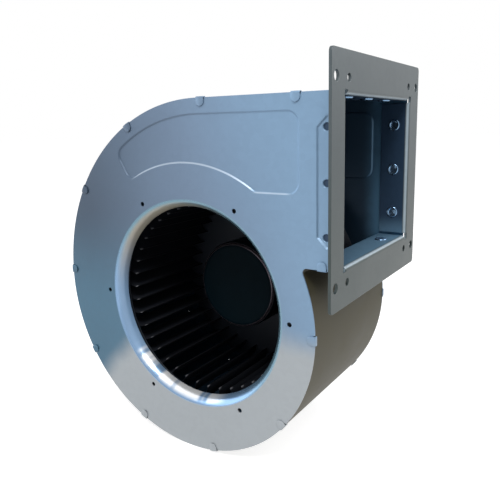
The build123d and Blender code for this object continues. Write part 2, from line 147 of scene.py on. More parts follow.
def gridPatch(points, closeRows=False, closeColumns=False):
    # Rows and columns of points joined into quads; a closed direction joins its last line to its first
    rows, columns = points.shape[:2]
    index = np.arange(rows * columns).reshape(rows, columns)
    if closeRows:
        index = np.vstack((index, index[:1]))
    if closeColumns:
        index = np.hstack((index, index[:, :1]))
    quads = np.stack((index[:-1, :-1], index[1:, :-1], index[1:, 1:], index[:-1, 1:]), -1)
    return points.reshape(-1, 3), quads.reshape(-1, 4).tolist()


def bandPatch(path, profile, closed=True):
    # A profile of (outward offset, depth Y) pairs carried along a path in the XZ plane
    points, normals = path
    offset, depth = np.array(profile, float).T
    flat = points[:, None] + normals[:, None] * offset[None, :, None]
    level = np.broadcast_to(depth, flat.shape[:2])
    return gridPatch(np.stack((flat[..., 0], level, flat[..., 1]), -1), closeRows=closed)


def fillPatch(loops, place):
    # Flat sheet inside the first loop, which runs counter-clockwise, and outside the others; place puts its
    # flat points into space
    flat = np.concatenate(loops)
    starts = np.cumsum([0] + [len(loop) for loop in loops])
    areas = [list(range(a, b)) for a, b in zip(starts, starts[1:])]
    made = delaunay_2d_cdt([Vector(p) for p in flat], [], areas, 1, 1e-6)
    faces = [list(face) for face, source in zip(made[2], made[5]) if list(source) == [0]]
    return place(np.array([tuple(p) for p in made[0]])), faces


def smoothStep(count):
    # Even values 0 to 1 and their eased height 3 s s - 2 s s s
    s = np.linspace(0, 1, count)
    return s, s * s * (3 - 2 * s)


def meshFrom(name, patches, turned=None):
    # One mesh from patches in millimetres, with shared borders merged. Faces are turned outwards, or so that
    # the widest one looks along turned; with turned False they stay as built
    starts = np.cumsum([0] + [len(points) for points, _ in patches]).tolist()
    corners = np.concatenate([points for points, _ in patches]) * mm
    faces = [[start + i for i in face] for start, (_, patch) in zip(starts, patches) for face in patch]
    mesh = bpy.data.meshes.new(name)
    mesh.from_pydata(corners.tolist(), [], faces)
    merged = bmesh.new()
    merged.from_mesh(mesh)
    bmesh.ops.remove_doubles(merged, verts=merged.verts, dist=mergeReach)
    if turned is not False:
        bmesh.ops.recalc_face_normals(merged, faces=merged.faces)
    if turned:
        widest = max(merged.faces, key=lambda face: face.calc_area())
        if widest.normal.dot(Vector(turned)) < 0:
            bmesh.ops.reverse_faces(merged, faces=merged.faces)
    merged.to_mesh(mesh)
    merged.free()
    return mesh


def addPiece(name, mesh, body, nodes=(), sheet=0, round=0, roundSteps=2, roundAngle=50):
    # Links a piece to its body; sheet gives an open surface its thickness, inwards, and round softens its
    # edges. The inner face of a sheet takes the piece's second material
    piece = bpy.data.objects.new(name, mesh)
    bpy.context.scene.collection.objects.link(piece)
    mesh.shade_smooth()
    if sheet:
        wall = piece.modifiers.new("thickness", "SOLIDIFY")
        wall.thickness = sheet * mm
        wall.offset = -1
        wall.material_offset = 1
    if round:
        soft = piece.modifiers.new("edges", "BEVEL")
        soft.width = round * mm
        soft.segments = roundSteps
        soft.limit_method = "ANGLE"
        soft.angle_limit = radians(roundAngle)
        soft.use_clamp_overlap = False
        soft.miter_outer = "MITER_ARC"
    level = piece.modifiers.new("flats", "WEIGHTED_NORMAL")
    level.keep_sharp = True
    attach(piece, body)
    if nodes:
        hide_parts(*nodes)
    return piece


def turnedPatch(profile, count):
    # A closed profile of (radius, Y) pairs turned round the Y axis
    radius, level = np.array(profile, float).T
    angle = np.linspace(0, 2 * np.pi, count, endpoint=False)[:, None]
    level = np.broadcast_to(level, (count, len(level)))
    rows = np.stack((radius * np.cos(angle), level, radius * np.sin(angle)), -1)
    return gridPatch(rows, closeRows=True, closeColumns=True)


def roundedCorners(corners, radii, steps=5):
    # A closed polygon whose corners are replaced by arcs, each starting and ending radius tan(turn / 2) from
    # the corner
    corners = np.array(corners, float)
    made = []
    for i, radius in enumerate(radii):
        here, before, after = corners[i], corners[i - 1], corners[(i + 1) % len(corners)]
        if radius == 0:
            made.append(here[None])
            continue
        back = (before - here) / hypot(*(before - here))
        ahead = (after - here) / hypot(*(after - here))
        half = np.arccos(np.clip(back @ ahead, -1, 1)) / 2
        reach = radius / np.tan(half)
        centre = here + (back + ahead) / hypot(*(back + ahead)) * radius / np.sin(half)
        first = here + back * reach - centre
        last = here + ahead * reach - centre
        sweep = (np.arctan2(last[1], last[0]) - np.arctan2(first[1], first[0]) + np.pi) % (2 * np.pi) - np.pi
        angle = np.arctan2(first[1], first[0]) + sweep * np.linspace(0, 1, steps + 1)
        made.append(centre + radius * np.stack((np.cos(angle), np.sin(angle)), 1))
    return np.concatenate(made)


# Materials

class Signal:
    # One output of a node; arithmetic on it adds Math nodes
    def __init__(self, nodes, socket):
        self.nodes, self.socket = nodes, socket

    def maths(self, operation, *values):
        return self.nodes.node("ShaderNodeMath", {"operation": operation}, dict(enumerate(values)))

    def __add__(self, other):
        return self.maths("ADD", self, other)

    def __sub__(self, other):
        return self.maths("SUBTRACT", self, other)

    def __rsub__(self, other):
        return self.maths("SUBTRACT", other, self)

    def __mul__(self, other):
        return self.maths("MULTIPLY", self, other)

    def __truediv__(self, other):
        return self.maths("DIVIDE", self, other)

    __radd__ = __add__
    __rmul__ = __mul__

    def root(self):
        return self.maths("SQRT", self)

    def size(self):
        return self.maths("ABSOLUTE", self)

    def orMore(self, other):
        return self.maths("MAXIMUM", self, other)

    def rise(self, low, high):
        # 0 below low, 1 above high and smooth between them
        return self.nodes.node(
            "ShaderNodeMapRange",
            {"interpolation_type": "SMOOTHSTEP"},
            {"Value": self, "From Min": low, "From Max": high, "To Min": 0.0, "To Max": 1.0},
        )

    def fall(self, low, high):
        # 1 below low, 0 above high and smooth between them
        return 1.0 - self.rise(low, high)

    def between(self, low, lowEnd, high, highEnd):
        # Rises from low to lowEnd and falls again from high to highEnd
        return self.rise(low, lowEnd) - self.rise(high, highEnd)


class Nodes:
    # Adds nodes to one node tree
    def __init__(self, tree):
        self.tree = tree

    def feed(self, made, inputs):
        # Links a signal to each named socket, or sets its value
        for key, value in inputs.items():
            socket = made.inputs[key]
            if isinstance(value, Signal):
                self.tree.links.new(value.socket, socket)
            elif socket.type == "RGBA" and len(value) == 3:
                socket.default_value = (*value, 1)
            else:
                socket.default_value = value

    def node(self, kind, settings=None, inputs=None, output=0):
        made = self.tree.nodes.new(kind)
        for key, value in (settings or {}).items():
            setattr(made, key, value)
        self.feed(made, inputs or {})
        return Signal(self, made.outputs[output])

    def mix(self, factor, first, second, blend="MIX"):
        # Two colours through a Mix node, whose colour sockets are its seventh and eighth
        return self.node(
            "ShaderNodeMix", {"data_type": "RGBA", "blend_type": blend}, {0: factor, 6: first, 7: second}, 2
        )

    def rayKind(self, *kinds):
        # 1 on rays of one of these kinds, 0 on all others
        seen = self.node("ShaderNodeLightPath", output=kinds[0])
        for kind in kinds[1:]:
            seen = seen.orMore(self.node("ShaderNodeLightPath", output=kind))
        return seen


class Finish(Nodes):
    # A material with one Principled shader
    def __init__(self, name):
        self.material = bpy.data.materials.new(name)
        self.material.use_nodes = True
        super().__init__(self.material.node_tree)
        self.shader = self.tree.nodes["Principled BSDF"]
        self.place = self.node("ShaderNodeTexCoord", output="Object")

    def axes(self):
        # The object's own X, Y and Z in millimetres
        split = self.node("ShaderNodeSeparateXYZ", None, {"Vector": self.place})
        return [Signal(self, socket) / mm for socket in split.socket.node.outputs]

    def grey(self, tone):
        return self.node("ShaderNodeCombineColor", None, {0: tone, 1: tone, 2: tone})

    def crystals(self, scale):
        # One random value for each cell of a Voronoi pattern
        cells = self.node("ShaderNodeTexVoronoi", None, {"Vector": self.place, "Scale": scale}, "Color")
        return self.node("ShaderNodeSeparateColor", None, {"Color": cells})

    def noise(self, scale, detail=3.0, rough=0.55, stretch=None):
        # Noise on the object's own coordinates, with scale in features per metre
        place = self.place
        if stretch:
            place = self.node("ShaderNodeMapping", None, {"Vector": place, "Scale": stretch})
        return self.node(
            "ShaderNodeTexNoise",
            None,
            {"Vector": place, "Scale": scale, "Detail": detail, "Roughness": rough},
        )

    def finished(self, bump=None, strength=0.2, distance=0.0001, **sockets):
        # Feeds the shader's sockets, and sends a height through Bump to its Normal
        if bump is not None:
            sockets["Normal"] = self.node(
                "ShaderNodeBump", None, {"Height": bump, "Strength": strength, "Distance": distance}
            )
        self.feed(self.shader, {key.replace("_", " "): value for key, value in sockets.items()})
        return self.material


def linear(red, green, blue):
    # An 8 bit colour as the shader wants it
    share = np.array((red, green, blue)) / 255
    curve = ((share + 0.055) / 1.055) ** 2.4
    return tuple(float(c) for c in np.where(share <= 0.04045, share / 12.92, curve))


galvanised = {
    # left to low: painted shade, painted light and painted reflections on the zinc
    "left": linear(46, 63, 82),
    "upper": linear(104, 124, 148),
    "bright": linear(122, 152, 181),
    "teal": linear(74, 120, 145),
    "low": linear(158, 164, 169),
    # crest: a painted highlight along the panel's lower slope
    "crestHighlight": linear(225, 236, 246),
    # pit: painted shade inside the clinch pits
    "pit": linear(20, 28, 38),
    "metal": 0.35,
    "rough": 0.4,
}
# Painted reflections and painted glints on the front plate's nozzle
nozzleReflections = {
    "rim": linear(112, 146, 162),
    "lip": linear(184, 177, 161),
    "low": linear(125, 156, 190),
    "paintedGlint": linear(250, 252, 255),
    # directions in the XZ plane that the painted reflections and glints lean towards
    "lipWay": (-0.9, 0.436),
    "lowWay": (-0.55, -0.835),
    "glintWay": (-0.35, -0.94),
}


def sheetPaintedLight(finish, x, z):
    # Painted shade and painted reflections in broad tints: dark grey at the back of the scroll, violet grey
    # above, pale blue to the outlet, teal at the back of the foot and light grey below a slanted line
    tint = galvanised
    wander = (finish.noise(22.0, 3.0) - 0.5) * 12.0
    colour = finish.mix((x + wander).rise(-120.0, 30.0), tint["left"], tint["upper"])
    colour = finish.mix((x * 0.9 + z * 0.3 + wander).rise(20.0, 125.0), colour, tint["bright"])
    teal = (z - wander).fall(-20.0, 75.0) * x.fall(0.0, 90.0)
    colour = finish.mix(teal * 0.6, colour, tint["teal"])
    slant = ((x + 79.0) * 0.746 - (z + 58.0) * 0.666 + wander).rise(-12.0, 10.0)
    return finish.mix(slant * (z - wander).fall(-24.0, 0.0), colour, tint["low"])


def nozzlePaintedReflections(finish, x, z, radius):
    # Painted reflections: a blue grey rim, a pale lip towards the upper back, blue lower down, and painted
    # white glints underneath. Returns the colour and how pale it is
    tint = nozzleReflections
    ways = [tint[way] for way in ("lipWay", "lowWay", "glintWay")]
    toLip, toLow, toPaintedGlint = [(x * across + z * up) / radius for across, up in ways]
    lip = radius.fall(75.2, 78.5)
    pale = lip * toLip.rise(-0.2, 0.8)
    around = finish.node("ShaderNodeCombineXYZ", None, {0: x / radius, 1: z / radius})
    flicker = finish.node("ShaderNodeTexNoise", None, {"Vector": around, "Scale": 5.5, "Detail": 2.0})
    colour = finish.mix(pale, tint["rim"], tint["lip"])
    colour = finish.mix(toLow.rise(-0.25, 0.6), colour, tint["low"])
    paintedGlint = flicker.rise(0.38, 0.52) * toPaintedGlint.rise(0.72, 0.9) * lip
    return finish.mix(paintedGlint, colour, tint["paintedGlint"]), pale


def panelCrestHighlight(x, y, z, radius):
    # 1 along the painted highlight on the front plate's slope under the pressed panel, on its arc and its
    # level foot
    onArc = radius.between(105.0, 105.5, 106.0, 106.6) * x.between(-54.0, -42.0, 54.0, 59.0)
    onFoot = z.between(86.5, 86.9, 87.4, 88.0) * x.between(57.0, 62.0, 82.0, 88.0)
    return (onArc + onFoot) * z.rise(50.0, 60.0) * y.fall(10.0, 20.0)


def clinchPitShade(x, z):
    # 1 inside the three clinch points, where painted shade darkens the pits; folding Z twice gives the
    # distance to the nearest of three even rows
    half = clinch["pitch"] / 2
    row = ((z - ductMidZ).size() - half).size() - half
    column = x - clinch["x"]
    return (row * row + column * column).root().fall(1.6, 2.6)


def sidePlateFinish(name):
    # Zinc coat in broad painted shade and reflections, with crystals, streaks and grain; the nozzle has its
    # own painted reflections and glints and more gloss
    finish = Finish(name)
    x, y, z = finish.axes()
    radius = (x * x + z * z).root()
    crystal, grain = finish.crystals(260.0), finish.noise(5200.0, 2.0)
    streak = finish.noise(30.0, 4.0, 0.6, stretch=(1.0, 1.0, 14.0))
    tone = 0.95 + crystal * 0.04 + (streak - 0.5) * 0.05 + (grain - 0.5) * 0.04
    # Broad painted shade and reflections, times the zinc's crystals, streaks and grain
    colour = finish.mix(1.0, sheetPaintedLight(finish, x, z), finish.grey(tone), "MULTIPLY")
    band = radius.fall(78.5, 80.0) * y.fall(50.0, 60.0)
    roll, pale = nozzlePaintedReflections(finish, x, z, radius)
    # The nozzle's band takes its painted reflections and glints
    colour = finish.mix(band, colour, roll)
    # Painted highlight along the slope under the pressed panel
    colour = finish.mix(panelCrestHighlight(x, y, z, radius) * 0.3, colour, galvanised["crestHighlight"])
    # Painted shade inside the clinch pits
    colour = finish.mix(clinchPitShade(x, z), colour, galvanised["pit"])
    rough = galvanised["rough"] + (crystal - 0.5) * 0.05 + (streak - 0.5) * 0.1 - band * 0.18
    return finish.finished(
        bump=grain * 0.6 + crystal * 0.4, strength=0.05, distance=0.00005,
        Base_Color=colour, Roughness=rough, Metallic=galvanised["metal"] + band * (0.3 - pale * 0.55),
    )


flangeShading = {
    "faceLow": linear(56, 66, 66),
    "faceHigh": linear(76, 85, 89),
    # duct: painted shade; ductFloor: painted light; edge: painted highlight
    "duct": linear(36, 58, 82),
    "ductFloor": linear(86, 118, 142),
    "edge": linear(165, 182, 194),
    "bend": (119.0, 120.9),
}


def flangeFinish(name):
    # Grey zinc outside, lighter towards the top; painted shade in navy on the tabs bent into the duct,
    # painted light in blue on its floor, and a painted highlight along the bends
    finish = Finish(name)
    x, y, z = finish.axes()
    tint = flangeShading
    crystal = finish.crystals(300.0)
    grain, cloud = finish.noise(3000.0, 3.0), finish.noise(30.0, 4.0)
    face = finish.mix((z + (cloud - 0.5) * 30.0).rise(30.0, 160.0), tint["faceLow"], tint["faceHigh"])
    duct = finish.mix(z.fall(44.0, 60.0), tint["duct"], tint["ductFloor"])
    colour = finish.mix((x - 0.5 * cloud).rise(*tint["bend"]), duct, face)
    opening = z.between(36.0, 40.0, 148.0, 152.0) * y.between(-1.0, 1.0, 124.0, 126.0)
    # Painted highlight along the bends round the opening
    colour = finish.mix(x.between(120.0, 121.5, 122.0, 122.8) * opening * 0.7, colour, tint["edge"])
    colour = finish.mix(1.0, colour, finish.grey(0.94 + crystal * 0.06 + (grain - 0.5) * 0.06), "MULTIPLY")
    return finish.finished(
        bump=grain, strength=0.06, distance=0.00005,
        Base_Color=colour, Roughness=0.42 + (cloud - 0.5) * 0.14, Metallic=0.35,
    )


def bladeFinish(name):
    # Strip steel darkened with painted shade, its root edge darker still with painted shade, and a painted
    # highlight next to the front ring
    finish = Finish(name)
    x, y, z = finish.axes()
    cloud, fine = finish.noise(60.0, 4.0), finish.noise(2400.0, 3.0)
    root = (x * x + z * z).root().fall(72.2, 73.5)
    bladeHighlight = root * y.fall(18.0, 20.5)
    colour = finish.mix(cloud, linear(22, 24, 29), linear(31, 34, 41))
    # Painted shade on the blades' root edges
    colour = finish.mix(root * 0.6, colour, linear(6, 7, 9))
    # Painted highlight next to the front ring
    colour = finish.mix(bladeHighlight * 0.6, colour, linear(130, 132, 138))
    return finish.finished(
        bump=fine, strength=0.08, distance=0.00004, Metallic=0.1, Specular_IOR_Level=0.08,
        Base_Color=colour, Roughness=0.6 - bladeHighlight * 0.2 + (fine - 0.5) * 0.1,
    )


def insideFinish(name):
    # The sheets' inner faces: painted light in blue near the outlet, painted shade further in
    finish = Finish(name)
    x, y, z = finish.axes()
    cloud, fine = finish.noise(35.0, 4.0), finish.noise(3000.0, 3.0)
    litToOutlet = (x + (cloud - 0.5) * 10.0).rise(84.0, 102.0)
    colour = finish.mix(litToOutlet, linear(40, 62, 82), linear(80, 122, 152))
    colour = finish.mix(1.0, colour, finish.grey(0.9 + cloud * 0.1 + (fine - 0.5) * 0.08), "MULTIPLY")
    return finish.finished(
        bump=fine, strength=0.06, distance=0.00005,
        Base_Color=colour, Roughness=0.45 + (cloud - 0.5) * 0.14, Metallic=0.4,
    )


def rotorFinish(name):
    # Black paint, rubbed down to bare metal on the drawn corner, whose pale pink there is a painted highlight
    finish = Finish(name)
    x, y, z = finish.axes()
    cloud, fine = finish.noise(90.0, 4.0), finish.noise(1500.0, 3.0)
    radius = (x * x + z * z).root() + (cloud - 0.5) * 0.6
    wearAndSheen = radius.between(34.0, 34.8, 35.6, 36.4)
    colour = finish.mix(cloud, linear(3, 14, 19), linear(6, 20, 27))
    # Bare metal on the corner, with a painted highlight in pale pink
    colour = finish.mix(wearAndSheen * 0.8, colour, linear(120, 110, 118))
    return finish.finished(
        bump=fine, strength=0.06, distance=0.00005, Specular_IOR_Level=0.02,
        Base_Color=colour, Roughness=0.34 - wearAndSheen * 0.1 + (fine - 0.5) * 0.06, Metallic=wearAndSheen * 0.9,
    )


def metalFinish(
    name, colour, metal, rough, vary=0.12, grain=2500.0, streaks=(1.0, 1.0, 1.0), bump=0.06, dull=None,
    shine=0.5,
):
    # Plain metal: colour and gloss vary with a broad cloud and a fine grain, dull darkens the worn spots
    finish = Finish(name)
    cloud = finish.noise(35.0, 4.0)
    fine = finish.noise(grain, 3.0, stretch=streaks)
    shade = finish.mix(cloud.rise(0.35, 0.7), tuple(c * (1 - vary) for c in colour), colour)
    if dull:
        shade = finish.mix(finish.noise(120.0, 5.0).rise(0.55, 0.75) * 0.6, shade, dull)
    return finish.finished(
        bump=fine, strength=bump, distance=0.00005, Specular_IOR_Level=shine,
        Base_Color=shade, Roughness=rough + (cloud - 0.5) * 0.14 + (fine - 0.5) * 0.06, Metallic=metal,
    )


def plasticFinish(name, colour, rough, grain=1800.0, bump=0.1, coat=0.0):
    # Moulded or lacquered: nearly even colour with a fine texture
    finish = Finish(name)
    cloud = finish.noise(60.0, 3.0)
    fine = finish.noise(grain, 2.0)
    shade = finish.mix(cloud, tuple(c * 0.82 for c in colour), colour)
    return finish.finished(
        bump=fine, strength=bump, distance=0.00004,
        Base_Color=shade, Roughness=rough + (fine - 0.5) * 0.1, Coat_Weight=coat,
    )


turned, laminated, wound = (1.0, 6.0, 1.0), (1.0, 60.0, 1.0), (30.0, 1.0, 1.0)
copper = linear(176, 92, 50)
finishes = {
    "sidePlate": sidePlateFinish("zinc_side_plate_painted_light"),
    "wrapper": metalFinish("zinc_wrapper", linear(64, 60, 42), 0.1, 0.55, grain=3000.0, shine=0.28),
    "inside": insideFinish("zinc_inside_shaded"),
    "flange": flangeFinish("zinc_flange_painted_light"),
    "button": metalFinish("clinch_zinc", linear(120, 150, 180), 0.9, 0.2, grain=3000.0),
    # The wheel's ring and disc are darkened with painted shade
    "wheel": metalFinish("wheel_zinc_shaded", linear(30, 36, 46), 0.3, 0.5),
    "blade": bladeFinish("blade_zinc_shaded"),
    "rotor": rotorFinish("rotor_black"),
    "motor": metalFinish("turned_aluminium", linear(170, 172, 174), 0.9, 0.35, grain=900.0, streaks=turned),
    "bright": metalFinish("ground_steel", linear(175, 176, 178), 1.0, 0.22),
    "screw": metalFinish("zinc_screws", linear(150, 152, 150), 0.9, 0.32, dull=linear(90, 88, 80)),
    "core": metalFinish("core_laminations", linear(96, 96, 98), 0.8, 0.5, grain=4000.0, streaks=laminated),
    "bronze": metalFinish("sintered_bronze", linear(150, 110, 64), 0.85, 0.5, grain=5000.0, bump=0.2),
    "magnet": metalFinish("ferrite", linear(58, 58, 60), 0.2, 0.6, bump=0.15),
    "copper": metalFinish("copper_wire", copper, 0.8, 0.3, grain=2600.0, streaks=wound, bump=0.25),
    "insulator": plasticFinish("insulator_nylon", linear(214, 208, 190), 0.45),
    "board": plasticFinish("board_green", linear(32, 92, 58), 0.35, coat=0.3),
    "component": plasticFinish("component_black", linear(34, 34, 36), 0.5),
    "rubber": plasticFinish("grommet_rubber", linear(28, 28, 29), 0.7, bump=0.2),
}
nodeFinish = {
    "front_side_plate": "sidePlate", "rear_side_plate": "sidePlate", "scroll_wrapper": "wrapper",
    "outlet_flange": "flange", "wheel_blades": "blade", "wheel_front_ring": "wheel",
    "wheel_back_disc": "wheel", "rotor_cup": "rotor", "rotor_magnets": "magnet", "rotor_shaft": "bright",
    "shaft_retaining_ring": "bright", "motor_flange": "motor", "bearing_cover": "motor",
    "bearing_bush": "bronze", "stator_core": "core",
    "front_winding_insulator": "insulator", "rear_winding_insulator": "insulator",
    "stator_windings": "copper", "circuit_board": "board", "hall_sensors": "component",
    "power_transistors": "component", "board_capacitor": "component", "motor_screws": "screw",
    "lead_grommet": "rubber",
}
for node, finishName in nodeFinish.items():
    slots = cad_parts[node].data.materials
    if len(slots):
        for i in range(len(slots)):
            slots[i] = finishes[finishName]
    else:
        slots.append(finishes[finishName])
print("materials made")


# Housing

def scrollOutline():
    # Top line, three arcs whose centres step inwards, the bend at the tongue and the duct's floor
    h = housing
    topZ = h["top"] - h["topRadius"]
    sideX = h["centreX"] - (h["topRadius"] - h["sideRadius"])
    lowZ = topZ - (h["sideRadius"] - h["lowRadius"])
    bendZ = h["floor"] - h["tongueBend"]
    reach = h["lowRadius"] + h["tongueBend"]
    bendX = sideX + sqrt(reach ** 2 - (bendZ - lowZ) ** 2)
    turn = degrees(asin((bendZ - lowZ) / reach))
    return joinRuns((
        lineRun((h["ductEnd"], h["top"]), (h["centreX"], h["top"]), (0, 1)),
        arcRun((h["centreX"], topZ), h["topRadius"], 90, 180),
        arcRun((sideX, topZ), h["sideRadius"], 180, 270),
        arcRun((sideX, lowZ), h["lowRadius"], 270, 360 + turn),
        arcRun((bendX, bendZ), h["tongueBend"], turn + 180, 90, side=-1, step=10),
        lineRun((bendX, h["floor"]), (h["ductEnd"], h["floor"]), (0, -1)),
    ))


lockTabs = {
    "first": 29.0, "pitch": 74.0, "count": 10, "floorX": 109.0,
    "width": 6.5, "length": 5.9, "tip": 0.3, "gap": 0.3, "sheet": 0.7,
    "height": 0.95, "bulge": 0.72, "bend": 0.9, "dome": 0.3, "root": 2.0, "flatFrom": 1.4,
}
rim = scrollOutline()
rimLength = lengthAlong(rim[0])
tabPlaces = np.array(
    [lockTabs["first"] + i * lockTabs["pitch"] for i in range(lockTabs["count"])]
    + [rimLength[-1] - (housing["ductEnd"] - lockTabs["floorX"])]
)


def pathAt(path, along, places):
    # Points and unit normals of a path at given running lengths
    point = np.stack([np.interp(places, along, path[0][:, i]) for i in range(2)], 1)
    normal = np.stack([np.interp(places, along, path[1][:, i]) for i in range(2)], 1)
    return point, normal / np.linalg.norm(normal, axis=1, keepdims=True)


def notchedRim():
    # The rim with a square step inwards for each locking tab
    half = lockTabs["width"] / 2 + lockTabs["gap"]
    edge = 0.01
    steps = np.concatenate([tabPlaces + s for s in (-half, -half + edge, half - edge, half)])
    keep = np.abs(rimLength[:, None] - tabPlaces).min(1) > half
    places = np.sort(np.concatenate((rimLength[keep], steps)))
    point, normal = pathAt(rim, rimLength, places)
    inside = np.abs(places[:, None] - tabPlaces).min(1) < half - edge / 2
    return point - normal * (inside * (housing["sheet"] + lockTabs["gap"]))[:, None]


panel = {
    "depth": 0.9, "margin": 10.5, "innerRadius": 105.5, "right": 93.0, "bottom": 87.0, "leftAngle": 121.0,
    "corner": 8.0, "slope": (0.4, -1.1),
}


def panelPath():
    # Between the scroll's own line moved inwards and a circle about the axis, cut by a ray, a level and an
    # upright. Its core is that shape shrunk by the corner radius, and a disc rolled along the core rounds it
    h, roll = housing, panel["corner"]
    top = h["top"] - panel["margin"] - roll
    topZ = h["top"] - h["topRadius"]
    outer = h["topRadius"] - panel["margin"] - roll
    inner = panel["innerRadius"] + roll
    right, bottom = panel["right"] - roll, panel["bottom"] + roll
    angle = radians(panel["leftAngle"])
    ray, side = np.array((cos(angle), sin(angle))), np.array((-sin(angle), cos(angle)))
    centre = np.array((h["centreX"], topZ))
    start = -roll * side
    low = start + ray * sqrt(inner ** 2 - roll ** 2)
    toCentre = start - centre
    along = ray @ toCentre
    high = start + ray * (-along + sqrt(along ** 2 - toCentre @ toCentre + outer ** 2))
    highAngle = degrees(np.arctan2(*(high - centre)[::-1]))
    lowAngle = degrees(np.arctan2(low[1], low[0]))
    endAngle = degrees(asin(bottom / inner))
    runs = (
        lineRun((right, bottom), (right, top), (1, 0)),
        joinRuns((
            lineRun((right, top), (h["centreX"], top), (0, 1)),
            arcRun(centre, outer, 90, highAngle),
        )),
        lineRun(high, low, side),
        arcRun((0, 0), inner, lowAngle, endAngle, side=-1),
        lineRun((inner * cos(radians(endAngle)), bottom), (right, bottom), (0, -1)),
    )
    return rolledPath(runs, roll, True)


pocket = {
    "depth": 1.2, "left": 105.0, "halfHeight": 34.0, "chamfer": 7.0, "corner": 2.5, "slope": (0.4, -1.5),
}


def pocketPath():
    # Open path round the pocket, from its mouth at the outlet under its left side and back to the mouth
    roll = pocket["corner"]
    left, wide = pocket["left"] + roll, pocket["left"] + pocket["chamfer"]
    shift = roll * (sqrt(2) - 1)
    high, low = (ductMidZ + s * pocket["halfHeight"] for s in (1, -1))
    far = pocket["chamfer"]
    slant = sqrt(0.5)
    a, b = (wide + shift, low - far + roll), (left, low + shift)
    c, d = (left, high - shift), (wide + shift, high + far - roll)
    end = housing["ductEnd"]
    runs = (
        lineRun((end, low - far + roll), a, (0, -1)),
        lineRun(a, b, (-slant, -slant)),
        lineRun(b, c, (-1, 0)),
        lineRun(c, d, (-slant, slant)),
        lineRun(d, (end, high + far - roll), (0, 1)),
    )
    return rolledPath(runs, roll, False, steps=4)


nozzle = {"rim": 79.0, "throat": 73.3, "depth": 9.5, "flat": 79.8, "sides": 192}
guardHoles = {"circle": 85.0, "radius": 1.75, "count": 6, "sides": 32}
spigotHole = {"radius": 22.3, "sides": 96}


def nozzleProfile():
    # (radius, Y): a small bend from the plate into the arc that ends along the axis at the throat
    draw = nozzle["rim"] - nozzle["throat"]
    roll = (draw ** 2 + nozzle["depth"] ** 2) / (2 * draw)
    turn = degrees(asin(nozzle["depth"] / roll))
    arc, _ = arcRun((nozzle["throat"] + roll, nozzle["depth"]), roll, 180 + turn - 8, 180, step=4)
    s = np.linspace(0, 1, 6)[:-1, None]
    start, bend = np.array((nozzle["flat"], 0.0)), np.array((nozzle["rim"], 0.0))
    curve = (1 - s) ** 2 * start + 2 * s * (1 - s) * bend + s ** 2 * arc[0]
    return np.concatenate((curve, arc))


def slopeProfile(shape, base=0.0):
    # Eased step from the sheet's face down into a pressing
    s, height = smoothStep(9)
    outer, inner = shape["slope"]
    return np.stack((outer + (inner - outer) * s, base + shape["depth"] * height), 1)


def sidePlateSkin(inlet):
    # Outer face of a side plate at Y 0, with its pressings going to +Y
    def level(y):
        return lambda flat: np.stack((flat[:, 0], np.full(len(flat), y), flat[:, 1]), 1)
    pressed, mouth = panelPath(), pocketPath()
    panelSlope, pocketSlope = slopeProfile(panel), slopeProfile(pocket)
    outer = np.concatenate((notchedRim(), mouth[0] + mouth[1] * pocketSlope[0, 0]))
    holes = [pressed[0] + pressed[1] * panelSlope[0, 0]]
    patches = []
    if inlet:
        profile = nozzleProfile()
        holes.append(circlePath((0, 0), profile[0, 0], nozzle["sides"])[0])
        for i in range(guardHoles["count"]):
            angle = 2 * np.pi * i / guardHoles["count"]
            centre = guardHoles["circle"] * np.array((cos(angle), sin(angle)))
            holes.append(circlePath(centre, guardHoles["radius"], guardHoles["sides"])[0])
        hub = circlePath((0, 0), 0.0, nozzle["sides"])
        patches.append(bandPatch(hub, profile))
    else:
        holes.append(circlePath((0, 0), spigotHole["radius"], spigotHole["sides"])[0])
    patches.append(fillPatch([outer] + holes, level(0.0)))
    patches.append(bandPatch(pressed, panelSlope))
    patches.append(fillPatch([pressed[0] + pressed[1] * panelSlope[-1, 0]], level(panel["depth"])))
    patches.append(bandPatch(mouth, pocketSlope, closed=False))
    pits = [circlePath((clinch["x"], z), 0.0, clinch["sides"]) for z in clinch["sideZ"]]
    pit = np.array(clinch["pit"]) + (0, pocket["depth"])
    patches.append(fillPatch(
        [(mouth[0] + mouth[1] * pocketSlope[-1, 0])[::-1]] + [path[0] + path[1] * pit[0, 0] for path in pits],
        level(pocket["depth"]),
    ))
    patches += [bandPatch(path, pit) for path in pits]
    return patches


def mirrored(patches):
    # The same patches seen from the other side of the housing
    flip, shift = (1, -1, 1), (0, housing["depth"], 0)
    return [(points * flip + shift, [face[::-1] for face in faces]) for points, faces in patches]


frontMesh = meshFrom("front_plate", sidePlateSkin(True), (0, -1, 0))
frontPlate = addPiece(
    "front_plate", frontMesh, "housing", ["front_side_plate"],
    sheet=housing["sheet"], round=0.12, roundAngle=60,
)
rearMesh = meshFrom("rear_plate", mirrored(sidePlateSkin(False)), (0, 1, 0))
rearPlate = addPiece(
    "rear_plate", rearMesh, "housing", ["rear_side_plate"],
    sheet=housing["sheet"], round=0.12, roundAngle=60,
)
print("side plates made")


